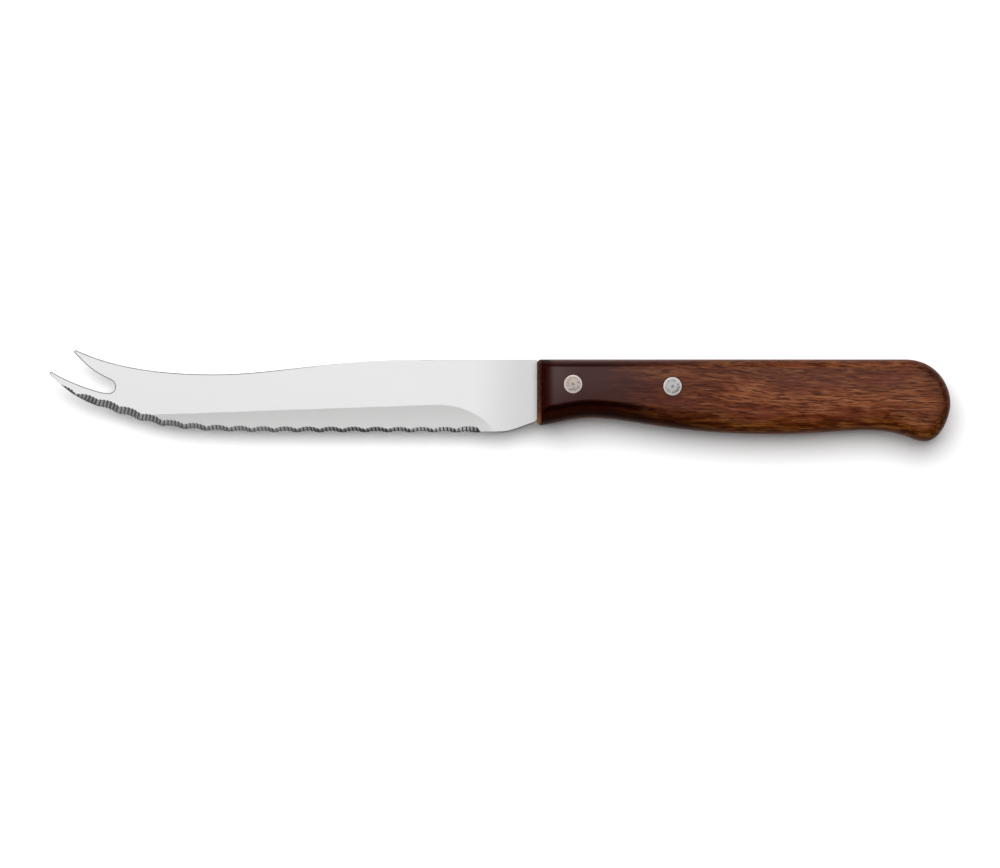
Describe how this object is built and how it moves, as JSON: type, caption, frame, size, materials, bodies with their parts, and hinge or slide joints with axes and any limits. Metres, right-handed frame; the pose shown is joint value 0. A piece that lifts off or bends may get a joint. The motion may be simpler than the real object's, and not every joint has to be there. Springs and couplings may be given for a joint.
{
  "type": "cheese knife",
  "caption": "Cheese knife with a forked, serrated blade, its tang let into a saw kerf in a one-piece wooden handle and held by peened pins.",
  "frame": {"origin": "middle of the knife's bounding box in X and Y, on the lower side face of the handle", "axes": "+X from the fork to the rear end of the handle, +Y from the cutting edge to the spine, +Z through the thickness, up as the knife lies on its side"},
  "size_m": [0.2, 0.0202, 0.012],
  "materials": {
    "steel": "satin",
    "wood": "gloss",
    "pin": "satin"
  },
  "bodies": {
    "root": {"blade": "steel", "handle": "wood", "rivet_front": "pin", "rivet_rear": "pin"}
  },
  "joints": []
}
